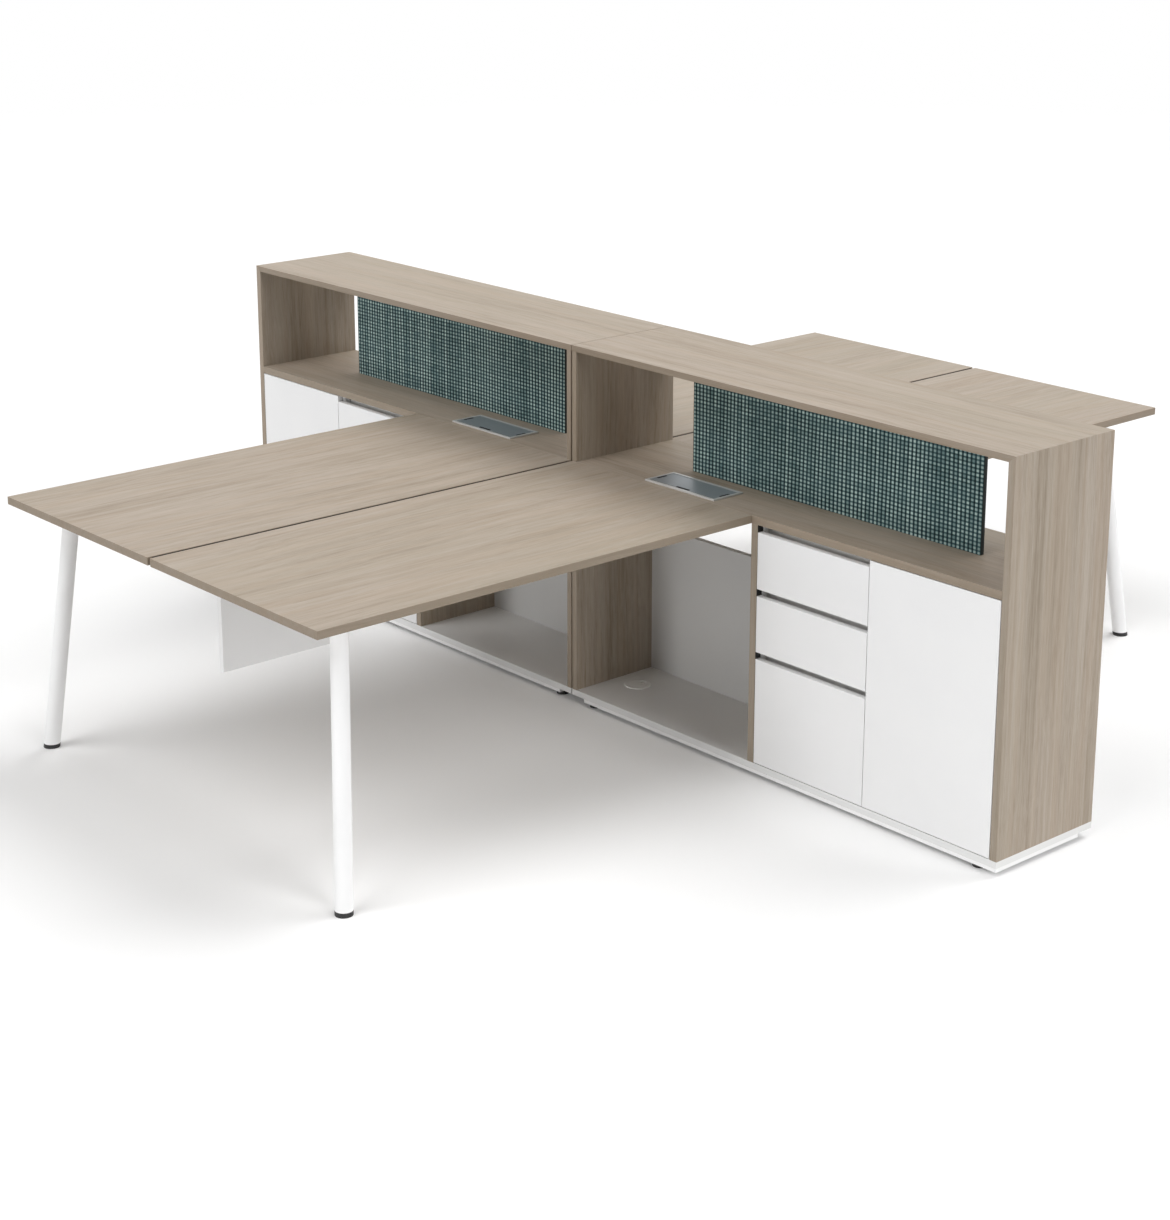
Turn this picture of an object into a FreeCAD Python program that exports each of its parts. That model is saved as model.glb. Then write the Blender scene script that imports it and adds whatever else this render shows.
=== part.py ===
"""Four-person desk cluster: two storage cabinets end to end and two desks on each side of them.

Lengths are in millimetres. X runs along the cabinets, Y from the front desks to the back desks, Z up.
The origin is on the floor, under the joint between the two cabinets. Every piece of the right cabinet is
built once and mirrored for the left one.
"""
import FreeCAD, Part
import os

# Overall sizes
cabinet_length = 1600.0
cabinet_depth = 380.0
cabinet_height = 1080.0
work_height = 740.0
desk_length = 1400.0
desk_width = 725.0
desk_gap = 12.0
board = 22.0
panel = 18.0
edge_round = 1.0
overrun = 50.0
fit_gap = 0.5

# Cabinet base
foot_height = 14.0
foot_radius = 18.0
foot_pad = 10.0
foot_stud_radius = 5.0
foot_inset = 29.0
foot_end_inset = 75.0
rail_height = 10.0
rail_width = 40.0
rail_notch = 55.0

# Cabinet carcass
joint_gap = 5.0
top_seam = 2.0
bay_back_inset = 62.0
bay_back_height = 448.0
back_inset = 7.0
drawer_share = 0.4835
front_gap = 2.0

# Fabric screens, each standing in a shallow groove in the shelf and in the top board.
# Both stand a little to the right of the middle of their cabinet, as the photograph shows.
screen_end_gap = 277.0
screen_offset = 35.0
screen_thickness = 12.0
screen_round = 3.0
groove_depth = 5.0

# Drawers
shallow_front = 158.0
pull_gap = 20.0
drawer_board = 12.0
drawer_base = 6.0
box_end_gap = 19.0
box_drop = 40.0
box_rise = 22.0
channel_depth = 24.0
channel_drop = 22.0
channel_rise = 8.0
channel_wall = 1.5
channel_round = 5.0

# Drawer runners
runner_space = 13.0
runner_end_gap = 17.0
runner_height = 45.0
runner_depth = 10.0
runner_wall = 2.0
runner_lip = 4.0
runner_setback = 20.0

# Door, loose shelf and their hardware
pivot_inset = 24.0
pivot_radius = 4.0
pivot_length = 12.0
pivot_flange_radius = 7.0
pivot_flange = 1.0
running_gap = 0.05
loose_shelf_height = 330.0
loose_shelf_setback = 35.0
pin_radius = 3.0
pin_reach = 9.0
pin_inset = 45.0

# Power boxes in the shelf
power_length = 276.0
power_width = 112.0
power_centre = 434.0
well_inset = 70.0
frame_thickness = 5.0
frame_lap = 6.0
tray_depth = 66.0
tray_wall = 5.0
tray_floor = 3.0
lid_border = 8.5
lid_gap = 0.7
lid_thickness = 4.0
lid_barrel = 2.2
lid_pin = 1.0
lid_pin_length = 8.0
lid_axis_height = 2.5
lid_axis_inset = 3.2
lid_notch_length = 46.0
lid_notch_width = 3.0
strip_length = 210.0
strip_width = 50.0
strip_height = 28.0
socket_radius = 20.0
socket_rise = 2.0
socket_pitch = 60.0
socket_shares = (-1, 0, 1)

# Cable grommets in the bay floor
grommet_radius = 40.0
grommet_lip = 3.0
grommet_sleeve = 30.0
grommet_wall = 3.0
grommet_ledge = 3.0
grommet_gap = 0.3
grommet_centre = 105.0
grommet_setback = 168.0
cap_slot = 14.0

# Desk legs and rails
leg_radius = 23.0
leg_wall = 2.0
leg_foot_side = 28.0
leg_foot_end = 72.0
leg_top_side = 108.0
leg_top_end = 138.0
leg_plate = 130.0
leg_plate_thickness = 6.0
glide_height = 12.0
glide_plug = 20.0
desk_rail_width = 50.0
desk_rail_height = 25.0
desk_rail_wall = 2.0
inner_rail_centre = 200.0
outer_rail_centre = 620.0
desk_rail_reach = 130.0

# Modesty panels under the gap between two desks
modesty_length = 375.0
modesty_height = 330.0
modesty_setback = 200.0
bracket_leg = 40.0
bracket_length = 50.0
bracket_wall = 3.0
bracket_share = 0.2

# Derived levels and planes
half_depth = cabinet_depth / 2
board_bottom = foot_height + rail_height
floor_level = board_bottom + panel
shelf_under = work_height - board
top_under = cabinet_height - panel
desk_end = half_depth + desk_length
inner_face = joint_gap / 2 + panel
divider_face = desk_gap / 2 + desk_width
storage_face = divider_face + board
outer_face = cabinet_length - board
split_centre = storage_face + drawer_share * (outer_face - storage_face)
drawer_wall = split_centre - panel / 2
door_wall = split_centre + panel / 2
front_back = panel - half_depth
back_face = half_depth - back_inset - panel
box_back = back_face - box_end_gap
screen_length = cabinet_length - 2 * screen_end_gap
screen_centre = cabinet_length / 2
screen_bottom = work_height - groove_depth
screen_top = top_under + groove_depth
drawer_left = storage_face + front_gap
drawer_right = split_centre - front_gap / 2
door_left = split_centre + front_gap / 2
door_right = outer_face - front_gap
door_bottom = floor_level + front_gap
door_top = shelf_under - front_gap
leg_foot_x = divider_face - leg_foot_side
leg_foot_y = desk_end - leg_foot_end
leg_top_x = divider_face - leg_top_side
leg_top_y = desk_end - leg_top_end
modesty_end = desk_end - modesty_setback
power_y = half_depth - well_inset
sides = {"right": 1, "left": -1}
rows = {"front": 1, "back": -1}


def vec(x, y, z):
    """Return a vector."""
    return FreeCAD.Vector(x, y, z)


def box(x, y, z):
    """Return a block between the two bounds given for each axis."""
    return Part.makeBox(x[1] - x[0], y[1] - y[0], z[1] - z[0], vec(x[0], y[0], z[0]))


def centred(x, y, z, length, width, height):
    """Return a block centred on x and y that stands on the level z."""
    return box((x - length / 2, x + length / 2), (y - width / 2, y + width / 2), (z, z + height))


def rod(radius, start, direction, length):
    """Return a cylinder."""
    return Part.makeCylinder(radius, length, start, direction)


def soften(shape, radius, along=None):
    """Round the edges of a block, or only those that run along one axis."""
    edges = shape.Edges
    if along is not None:
        edges = [e for e in edges if abs(e.tangentAt(e.FirstParameter).dot(along)) > 0.99]
    return shape.makeFillet(radius, edges)


def prism_y(points, start, length):
    """Extrude a polygon of (x, z) points along Y."""
    corners = [vec(x, start, z) for x, z in points]
    face = Part.Face(Part.makePolygon(corners + corners[:1]))
    return face.extrude(vec(0, length, 0))


def on_side(shape, side):
    """Return a right-cabinet shape on the side asked for: 1 right, -1 left."""
    if side > 0:
        return shape
    return shape.mirror(vec(0, 0, 0), vec(1, 0, 0))


def on_row(shape, row):
    """Return a front-desk shape in the row asked for: 1 front, -1 back."""
    if row > 0:
        return shape
    return shape.mirror(vec(0, 0, 0), vec(0, 1, 0))


def both_sides(shapes):
    """Return the shapes of the right cabinet with their mirror images."""
    return shapes + [on_side(s, -1) for s in shapes]


def both_rows(shapes):
    """Return the shapes of the front desks with their mirror images."""
    return shapes + [on_row(s, -1) for s in shapes]


def save(name, shape):
    """Write one node, a solid or a group of separate solids."""
    if isinstance(shape, list):
        shape = Part.makeCompound(shape)
    shape.exportStep("parts/" + name + ".step")


# Carcass boards


def mitre_wedge(upper):
    """Return the wedge above or below the mitre between the top board and the end panel."""
    low = (outer_face, top_under)
    high = (cabinet_length, cabinet_height)
    corner = (outer_face, cabinet_height) if upper else (cabinet_length, top_under)
    return prism_y([low, high, corner], -half_depth - overrun, cabinet_depth + 2 * overrun)


def screen_groove(low, high, sign):
    """Return the groove that one screen edge stands in, before the cabinet goes to its side."""
    length = screen_length + 2 * fit_gap
    width = screen_thickness + 2 * fit_gap
    return centred(screen_centre + sign * screen_offset, 0, low, length, width, high - low)


def top_board(sign):
    """Top board, mitred to the end panel."""
    blank = box((top_seam / 2, cabinet_length), (-half_depth, half_depth), (top_under, cabinet_height))
    blank = soften(blank, edge_round, vec(1, 0, 0))
    return blank.cut(mitre_wedge(False)).cut(screen_groove(top_under, screen_top, sign))


def end_panel():
    """Outer end panel, mitred to the top board, with holes for the shelf pins."""
    blank = box((outer_face, cabinet_length), (-half_depth, half_depth), (floor_level, cabinet_height))
    blank = soften(blank, edge_round, vec(0, 0, 1)).cut(mitre_wedge(True))
    for x, direction, y in pin_seats():
        if direction > 0:
            blank = blank.cut(pin(x, direction, y, running_gap))
    return blank


def joint_panel():
    """Inner end panel, beside the other cabinet."""
    blank = box((joint_gap / 2, inner_face), (-half_depth, half_depth), (floor_level, top_under))
    return soften(blank, edge_round, vec(0, 0, 1))


def shelf_board(sign):
    """Shelf at desk height with a groove for the screen and openings for the power boxes."""
    blank = box((inner_face, outer_face), (-half_depth, half_depth), (shelf_under, work_height))
    blank = soften(blank, edge_round, vec(1, 0, 0)).cut(screen_groove(screen_bottom, work_height, sign))
    length = power_length - 2 * frame_lap
    width = power_width - 2 * frame_lap
    opening = centred(power_centre, -power_y, shelf_under - overrun, length, width, board + 2 * overrun)
    for cutter in both_rows([opening]):
        blank = blank.cut(cutter)
    return blank


def bottom_board():
    """White board under the whole cabinet, with the hole for the cable grommet."""
    blank = box((joint_gap / 2, cabinet_length), (-half_depth, half_depth), (board_bottom, floor_level))
    blank = soften(blank, edge_round, vec(1, 0, 0))
    start = vec(grommet_centre, grommet_setback - half_depth, board_bottom - overrun)
    return blank.cut(rod(grommet_sleeve + running_gap, start, vec(0, 0, 1), panel + 2 * overrun))


def bay_divider():
    """Upright between the open bay and the drawers."""
    blank = box((divider_face, storage_face), (-half_depth, half_depth), (floor_level, shelf_under))
    return soften(blank, edge_round, vec(0, 0, 1))


def bay_back():
    """Low panel at the back of the open bay; cables pass above it."""
    rear = half_depth - bay_back_inset
    return box((inner_face, divider_face), (rear - panel, rear), (floor_level, floor_level + bay_back_height))


def storage_back():
    """Back panel of the drawers and the door compartment."""
    return box((storage_face, outer_face), (back_face, back_face + panel), (floor_level, shelf_under))


def door_partition():
    """Upright between the drawers and the door compartment, behind the fronts."""
    blank = box((drawer_wall, door_wall), (front_back + front_gap, back_face), (floor_level, shelf_under))
    for x, direction, y in pin_seats():
        if direction < 0:
            blank = blank.cut(pin(x, direction, y, running_gap))
    return blank


# Cabinet base


def base_rails():
    """Flat bars under the bottom board, cut back at the joint and at the outer back corner."""
    z = (foot_height, board_bottom)
    inner = half_depth - rail_width
    far = cabinet_length - rail_width
    front = box((rail_notch, cabinet_length), (-half_depth, -inner), z)
    back = box((rail_notch, cabinet_length - rail_notch), (inner, half_depth), z)
    joint_end = box((rail_notch, rail_notch + rail_width), (-inner, inner), z)
    outer_end = box((far, cabinet_length), (-inner, half_depth - rail_notch), z)
    return [front, back, joint_end, outer_end]


def cabinet_foot(x, y):
    """Levelling foot with its stud up to the rail."""
    pad = rod(foot_radius, vec(x, y, 0), vec(0, 0, 1), foot_pad)
    stud = rod(foot_stud_radius, vec(x, y, 0), vec(0, 0, 1), foot_height)
    return soften_top(pad).fuse(stud).removeSplitter()


def soften_top(pad):
    """Round the upper rim of a foot pad."""
    rim = [e for e in pad.Edges if e.BoundBox.ZMin > foot_pad / 2]
    return pad.makeFillet(foot_pad / 4, rim)


def cabinet_feet():
    """Four feet under one cabinet, each below a rail."""
    reach = half_depth - foot_inset
    places = (foot_end_inset, cabinet_length - foot_end_inset)
    return [cabinet_foot(x, y) for x in places for y in (-reach, reach)]


# Screens


def screen(sign):
    """Fabric-covered screen board, before the cabinet goes to its side."""
    height = screen_top - screen_bottom
    centre = screen_centre + sign * screen_offset
    blank = centred(centre, 0, screen_bottom, screen_length, screen_thickness, height)
    return soften(blank, screen_round, vec(0, 0, 1))


# Drawers


def drawer_levels():
    """Return the lower and upper level of each drawer front, from the top one down."""
    first = shelf_under - pull_gap
    second = first - shallow_front - pull_gap
    third = second - shallow_front - pull_gap
    return {
        "top": (first - shallow_front, first),
        "middle": (second - shallow_front, second),
        "bottom": (floor_level + front_gap, third),
    }


def drawer_front(low, high):
    """Inset drawer front."""
    blank = box((drawer_left, drawer_right), (-half_depth, front_back), (low, high))
    return soften(blank, edge_round)


def runner_middle(low, high):
    """Return the height of the runner centre line of a drawer."""
    return (low + box_rise + high - box_drop) / 2


def drawer_box(low, high):
    """Drawer box behind its front, with the sliding members of its runners as separate solids."""
    left = storage_face + runner_space
    right = drawer_wall - runner_space
    outer = box((left, right), (front_back, box_back), (low + box_rise, high - box_drop))
    inner = box((left + drawer_board, right - drawer_board),
                (front_back + drawer_board, box_back - drawer_board),
                (low + box_rise + drawer_base, high))
    member = sliding_member(runner_middle(low, high))
    return [outer.cut(inner)] + beside_drawer(member)


def beside_drawer(shape):
    """Return a shape at the left of the drawers and its mirror image at their right."""
    middle = (storage_face + drawer_wall) / 2
    return [shape, shape.mirror(vec(middle, 0, 0), vec(1, 0, 0))]


def runner_span():
    """Return the front and back ends of a closed runner."""
    return (front_back + runner_setback, back_face - runner_end_gap)


def sliding_member(middle):
    """Bar on the drawer side that slides in the cabinet member."""
    half = runner_height / 2 - runner_lip - fit_gap
    x = (storage_face + runner_wall + fit_gap, storage_face + runner_space)
    return box(x, runner_span(), (middle - half, middle + half))


def cabinet_member(middle):
    """Channel on the cabinet wall, open towards the drawer."""
    half = runner_height / 2
    start, end = runner_span()
    x = (storage_face, storage_face + runner_depth)
    outer = box(x, (start, end), (middle - half, middle + half))
    groove = box((storage_face + runner_wall, storage_face + runner_depth + overrun),
                 (start - overrun, end + overrun),
                 (middle - half + runner_lip, middle + half - runner_lip))
    return outer.cut(groove)


def cabinet_runners():
    """The six cabinet members of one cabinet."""
    members = []
    for low, high in drawer_levels().values():
        members += beside_drawer(cabinet_member(runner_middle(low, high)))
    return members


def pull_channel(low, high):
    """Aluminium channel behind a pull gap, open to the front."""
    y = (front_back + front_gap, front_back + front_gap + channel_depth)
    outer = box((storage_face, drawer_wall), y, (low, high))
    inner = box((storage_face - overrun, drawer_wall + overrun),
                (y[0] - overrun, y[1] - channel_wall),
                (low + channel_wall, high - channel_wall))
    clear = drawer_wall - storage_face
    rear = [e for e in inner.Edges if e.BoundBox.YMin > y[0] and e.BoundBox.XLength > clear]
    return outer.cut(inner.makeFillet(channel_round, rear))


def pull_channels():
    """The three channels of one cabinet, the upper one right under the shelf."""
    channels = []
    upper = shelf_under
    for low, high in drawer_levels().values():
        channels.append(pull_channel(high - channel_drop, upper))
        upper = low + channel_rise
    return channels


# Door compartment


def pivot_seats():
    """Return the level and the upward or downward direction of the two door pivots."""
    return ((floor_level, 1), (shelf_under, -1))


def pivot_axis(level):
    """Return a point on the door axis."""
    return vec(door_right - pivot_inset, front_back - panel / 2, level)


def door():
    """Inset door with a hole for each pivot."""
    blank = box((door_left, door_right), (-half_depth, front_back), (door_bottom, door_top))
    blank = soften(blank, edge_round)
    for level, direction in pivot_seats():
        hole = rod(pivot_radius + running_gap, pivot_axis(level), vec(0, 0, direction),
                   pivot_length + 2 * front_gap)
        blank = blank.cut(hole)
    return blank


def door_pivot(level, direction):
    """Flanged pivot pin."""
    up = vec(0, 0, direction)
    flange = rod(pivot_flange_radius, pivot_axis(level), up, pivot_flange)
    return flange.fuse(rod(pivot_radius, pivot_axis(level), up, pivot_length + front_gap)).removeSplitter()


def loose_shelf_span():
    """Return the front and back edges of the loose shelf."""
    return (front_back + loose_shelf_setback, back_face - front_gap)


def loose_shelf():
    """Loose shelf behind the door."""
    low = floor_level + loose_shelf_height
    x = (door_wall + fit_gap, outer_face - fit_gap)
    return soften(box(x, loose_shelf_span(), (low, low + panel)), edge_round, vec(1, 0, 0))


def pin_seats():
    """Return the wall face, the direction into the wall and the depth position of each shelf pin."""
    start, end = loose_shelf_span()
    seats = []
    for y in (start + pin_inset, end - pin_inset):
        seats.append((door_wall, -1, y))
        seats.append((outer_face, 1, y))
    return seats


def pin(x, direction, y, extra):
    """Shelf pin, half in the wall and half under the loose shelf."""
    level = floor_level + loose_shelf_height - pin_radius
    start = vec(x - direction * pin_reach, y, level)
    return rod(pin_radius + extra, start, vec(direction, 0, 0), 2 * pin_reach + extra)


# Power boxes


def power_frame():
    """Aluminium frame on the shelf with the two pins of the lid hinge."""
    outer = centred(power_centre, -power_y, work_height, power_length, power_width, frame_thickness)
    outer = soften(outer, edge_round)
    inner = centred(power_centre, -power_y, work_height - overrun, power_length - 2 * lid_border,
                    power_width - 2 * lid_border, frame_thickness + 2 * overrun)
    frame = outer.cut(inner)
    for end in (-1, 1):
        start = lid_axis(end * (power_length / 2 - lid_border))
        frame = frame.fuse(rod(lid_pin, start, vec(-end, 0, 0), lid_pin_length))
    return frame.removeSplitter()


def lid_axis(offset):
    """Return a point on the lid axis at an offset from the middle of the box."""
    rear = power_width / 2 - lid_border - lid_axis_inset
    return vec(power_centre + offset, rear - power_y, work_height + lid_axis_height)


def power_tray():
    """Tray under the frame; its walls carry the closed lid."""
    length = power_length - 2 * frame_lap - 2 * fit_gap
    width = power_width - 2 * frame_lap - 2 * fit_gap
    low = work_height - tray_depth
    outer = centred(power_centre, -power_y, low, length, width, tray_depth)
    inner = centred(power_centre, -power_y, low + tray_floor, length - 2 * tray_wall,
                    width - 2 * tray_wall, tray_depth)
    return outer.cut(inner)


def socket_strip():
    """Strip on the tray floor with a raised round seat for each socket."""
    low = work_height - tray_depth + tray_floor
    strip = centred(power_centre, -power_y, low, strip_length, strip_width, strip_height)
    strip = soften(strip, edge_round, vec(0, 0, 1))
    for share in socket_shares:
        start = vec(power_centre + share * socket_pitch, -power_y, low)
        strip = strip.fuse(rod(socket_radius, start, vec(0, 0, 1), strip_height + socket_rise))
    return strip.removeSplitter()


def power_lid():
    """Flip lid with its hinge barrel and a cable notch in the front edge."""
    half = power_length / 2 - lid_border - lid_gap
    axis = lid_axis(-half)
    front = lid_border + lid_gap - power_width / 2 - power_y
    plate = box((power_centre - half, power_centre + half), (front, axis.y),
                (work_height, work_height + lid_thickness))
    notch = centred(power_centre, front, work_height - overrun, lid_notch_length,
                    2 * lid_notch_width, lid_thickness + 2 * overrun)
    lid = plate.cut(notch).fuse(rod(lid_barrel, axis, vec(1, 0, 0), 2 * half))
    bore_length = lid_pin_length + lid_gap
    for end in (-1, 1):
        start = lid_axis(end * (half + lid_gap))
        lid = lid.cut(rod(lid_pin + running_gap, start, vec(-end, 0, 0), bore_length))
    return lid.removeSplitter()


# Cable grommets


def grommet_axis(level):
    """Return a point on the grommet axis."""
    return vec(grommet_centre, grommet_setback - half_depth, level)


def grommet_ring():
    """Ring in the bay floor with a ledge for its cap."""
    up = vec(0, 0, 1)
    bore = grommet_sleeve - grommet_wall
    lip = rod(grommet_radius, grommet_axis(floor_level), up, grommet_lip)
    rim = [e for e in lip.Edges if e.BoundBox.ZMin > floor_level + grommet_lip / 2]
    lip = lip.makeFillet(grommet_lip / 2, rim)
    ring = lip.fuse(rod(grommet_sleeve, grommet_axis(board_bottom), up, panel)).removeSplitter()
    ring = ring.cut(rod(bore, grommet_axis(floor_level), up, overrun))
    return ring.cut(rod(bore - grommet_ledge, grommet_axis(board_bottom - overrun), up, panel + 2 * overrun))


def grommet_cap():
    """Turning cap with a slot for cables."""
    up = vec(0, 0, 1)
    radius = grommet_sleeve - grommet_wall - grommet_gap
    cap = rod(radius, grommet_axis(floor_level), up, grommet_lip)
    centre = grommet_axis(floor_level - overrun)
    slot = centred(centre.x, centre.y + radius, centre.z, cap_slot, 2 * cap_slot, 2 * overrun)
    return cap.cut(slot)


# Desks


def desk_top():
    """Desk top of the front right desk."""
    blank = box((desk_gap / 2, divider_face), (-desk_end, -half_depth), (shelf_under, work_height))
    return soften(blank, edge_round)


def leg_rod(radius, low, high):
    """Return a leaning round bar along the leg axis, cut level at both ends."""
    foot = vec(leg_foot_x, -leg_foot_y, 0)
    lean = vec(leg_top_x, -leg_top_y, shelf_under) - foot
    extra = lean * (overrun / shelf_under)
    bar = rod(radius, foot - extra, lean, lean.Length + 2 * extra.Length)
    span = leg_radius + overrun + leg_foot_side + leg_top_side
    slab = box((leg_top_x - span, leg_foot_x + span), (-leg_foot_y - span, span - leg_top_y), (low, high))
    return bar.common(slab)


def leg():
    """Splayed tube leg and its top plate."""
    seat = shelf_under - leg_plate_thickness
    tube = leg_rod(leg_radius, glide_height, seat).cut(leg_rod(leg_radius - leg_wall, 0, seat))
    plate = centred(leg_top_x, -leg_top_y, seat, leg_plate, leg_plate, leg_plate_thickness)
    plate = soften(plate, leg_plate_thickness, vec(0, 0, 1))
    return [tube, plate]


def leg_glide():
    """Glide under a leg with a plug inside the tube."""
    plug = leg_rod(leg_radius - leg_wall - grommet_gap, 0, glide_height + glide_plug)
    return leg_rod(leg_radius, 0, glide_height).fuse(plug).removeSplitter()


def rail_tube(x, y):
    """Rectangular tube under the desk tops, open at the ends of its longer side."""
    low = shelf_under - desk_rail_height
    wall = desk_rail_wall
    hollow = (low + wall, shelf_under - wall)
    if x[1] - x[0] > y[1] - y[0]:
        inner = box((x[0] - overrun, x[1] + overrun), (y[0] + wall, y[1] - wall), hollow)
    else:
        inner = box((x[0] + wall, x[1] - wall), (y[0] - overrun, y[1] + overrun), hollow)
    return box(x, y, (low, shelf_under)).cut(inner)


def desk_rails():
    """Cross rail between two legs and the four long rails that reach under the shelf."""
    half = desk_rail_width / 2
    reach = leg_top_x - leg_plate / 2
    rails = [rail_tube((-reach, reach), (-leg_top_y - half, half - leg_top_y))]
    starts = {inner_rail_centre: half - leg_top_y, outer_rail_centre: leg_plate / 2 - leg_top_y}
    for centre, start in starts.items():
        span = (start, desk_rail_reach - half_depth)
        rails += both_sides([rail_tube((centre - half, centre + half), span)])
    return rails


def modesty_panel():
    """Short panel under the gap between the two front desks."""
    blank = box((-panel / 2, panel / 2), (-modesty_end, modesty_length - modesty_end),
                (shelf_under - modesty_height, shelf_under))
    return soften(blank, edge_round)


def modesty_brackets():
    """Angle brackets that hang one modesty panel from the two desk tops."""
    brackets = []
    for share in (bracket_share, 1 - bracket_share):
        y = share * modesty_length - modesty_end
        span = (y - bracket_length / 2, y + bracket_length / 2)
        outer = box((panel / 2, panel / 2 + bracket_leg), span, (shelf_under - bracket_leg, shelf_under))
        inner = box((panel / 2 + bracket_wall, panel / 2 + bracket_leg + overrun),
                    (span[0] - overrun, span[1] + overrun),
                    (shelf_under - bracket_leg - overrun, shelf_under - bracket_wall))
        brackets += both_sides([outer.cut(inner)])
    return brackets


def save_cabinets():
    """Write the pieces of the two cabinets."""
    boards = {
        "end_panel": end_panel(),
        "joint_panel": joint_panel(),
        "bottom_board": bottom_board(),
        "bay_divider": bay_divider(),
        "door": door(),
        "grommet_cap": grommet_cap(),
    }
    for level, (low, high) in drawer_levels().items():
        boards["drawer_front_" + level] = drawer_front(low, high)
    for side, sign in sides.items():
        save("top_board_" + side, on_side(top_board(sign), sign))
        save("shelf_board_" + side, on_side(shelf_board(sign), sign))
        save("screen_" + side, on_side(screen(sign), sign))
        for name, shape in boards.items():
            save(name + "_" + side, on_side(shape, sign))
    for level, (low, high) in drawer_levels().items():
        solids = drawer_box(low, high)
        for side, sign in sides.items():
            save("drawer_box_" + level + "_" + side, [on_side(s, sign) for s in solids])
    save("bay_backs", both_sides([bay_back()]))
    save("storage_backs", both_sides([storage_back()]))
    save("door_partitions", both_sides([door_partition()]))
    save("base_rails", both_sides(base_rails()))
    save("cabinet_feet", both_sides(cabinet_feet()))
    save("cabinet_runners", both_sides(cabinet_runners()))
    save("pull_channels", both_sides(pull_channels()))
    save("loose_shelves", both_sides([loose_shelf()]))
    save("shelf_pins", both_sides([pin(x, direction, y, 0) for x, direction, y in pin_seats()]))
    save("door_pivots", both_sides([door_pivot(level, direction) for level, direction in pivot_seats()]))
    save("grommet_rings", both_sides([grommet_ring()]))


def save_power_boxes():
    """Write the four power boxes."""
    save("power_frames", both_sides(both_rows([power_frame()])))
    save("power_trays", both_sides(both_rows([power_tray(), socket_strip()])))
    lid = power_lid()
    for row, row_sign in rows.items():
        for side, side_sign in sides.items():
            save("power_lid_" + row + "_" + side, on_side(on_row(lid, row_sign), side_sign))


def save_desks():
    """Write the four desks with their legs, rails and modesty panels."""
    for row, row_sign in rows.items():
        for side, side_sign in sides.items():
            save("desk_top_" + row + "_" + side, on_side(on_row(desk_top(), row_sign), side_sign))
            save("leg_" + row + "_" + side, [on_side(on_row(s, row_sign), side_sign) for s in leg()])
        save("modesty_panel_" + row, on_row(modesty_panel(), row_sign))
    save("leg_glides", both_sides(both_rows([leg_glide()])))
    save("desk_rails", both_rows(desk_rails()))
    save("modesty_brackets", both_rows(modesty_brackets()))


os.makedirs("parts", exist_ok=True)
save_cabinets()
save_power_boxes()
save_desks()
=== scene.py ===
"""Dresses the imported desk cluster: decor boards, fabric screens, small fittings and a pale studio."""
import logging
import math
from dataclasses import dataclass
from enum import Enum
from itertools import product
from typing import Any, Callable, ClassVar, Dict, List, Optional, Sequence, Tuple, Union

import bpy
from mathutils import Matrix, Vector


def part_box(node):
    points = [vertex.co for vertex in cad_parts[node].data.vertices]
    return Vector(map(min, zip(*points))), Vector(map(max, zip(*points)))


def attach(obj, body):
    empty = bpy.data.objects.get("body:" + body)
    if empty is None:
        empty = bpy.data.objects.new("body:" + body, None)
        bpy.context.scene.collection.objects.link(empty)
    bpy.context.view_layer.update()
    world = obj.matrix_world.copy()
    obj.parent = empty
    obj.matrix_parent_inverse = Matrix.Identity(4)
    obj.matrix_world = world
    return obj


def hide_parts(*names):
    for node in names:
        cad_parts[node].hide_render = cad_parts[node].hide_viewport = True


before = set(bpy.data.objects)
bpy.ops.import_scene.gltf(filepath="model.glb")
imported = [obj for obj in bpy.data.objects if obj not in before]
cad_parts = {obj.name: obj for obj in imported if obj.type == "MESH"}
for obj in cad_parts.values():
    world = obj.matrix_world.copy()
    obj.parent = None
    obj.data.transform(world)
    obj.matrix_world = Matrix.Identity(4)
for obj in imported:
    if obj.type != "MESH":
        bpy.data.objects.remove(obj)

LOG = logging.getLogger("desk_cluster")
Item = bpy.types.Object
Material = bpy.types.Material
Colour = Tuple[int, int, int]
Span = Tuple[float, float]
Triple = Tuple[float, float, float]
FaceTest = Callable[[bpy.types.MeshPolygon], bool]
EdgeTest = Callable[[Vector, Vector], bool]

FIXED = "cluster"  # body of all that stands still
MIDDLE = 0.5  # mean of a noise
SQUARE_ON = 0.9  # least part of a normal along the axis that its face looks along
UPRIGHT_RISE = 0.1  # least rise of an upright edge
CREST = 0.9  # share of a height beyond which an edge belongs to the end face


class Axis(Enum):
    """Row axes, as places in a vector."""

    X = 0
    Y = 1
    Z = 2


class Named(Enum):
    """A choice whose name is part of node names."""

    @property
    def word(self) -> str:
        """Name of the choice as the nodes write it."""
        return self.name.lower()


class Side(Named):
    """The two cabinets, with the sign of their X."""

    RIGHT = 1
    LEFT = -1


class Row(Named):
    """The two desk rows, with the sign of their Y."""

    FRONT = -1
    BACK = 1


def corners(stem: str) -> List[str]:
    """Name the nodes of a kind that has one in each row and on each side."""
    return [f"{stem}_{row.word}_{side.word}" for row, side in product(Row, Side)]


def tint(colour: Colour, shift: Colour = (0, 0, 0)) -> Tuple[float, ...]:
    """Turn a display colour of 0 to 255 into the linear colour that a shader takes.

    Args:
        colour: Red, green and blue levels.
        shift: Steps by which the levels are first changed.

    Returns:
        The linear colour with full alpha.
    """
    def linear(level: int) -> float:
        """Undo the display curve of one level."""
        share = min(max(level, 0), 255) / 255.0
        return share / 12.92 if share <= 0.04045 else ((share + 0.055) / 1.055) ** 2.4

    return (*[linear(level + step) for level, step in zip(colour, shift)], 1.0)


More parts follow.
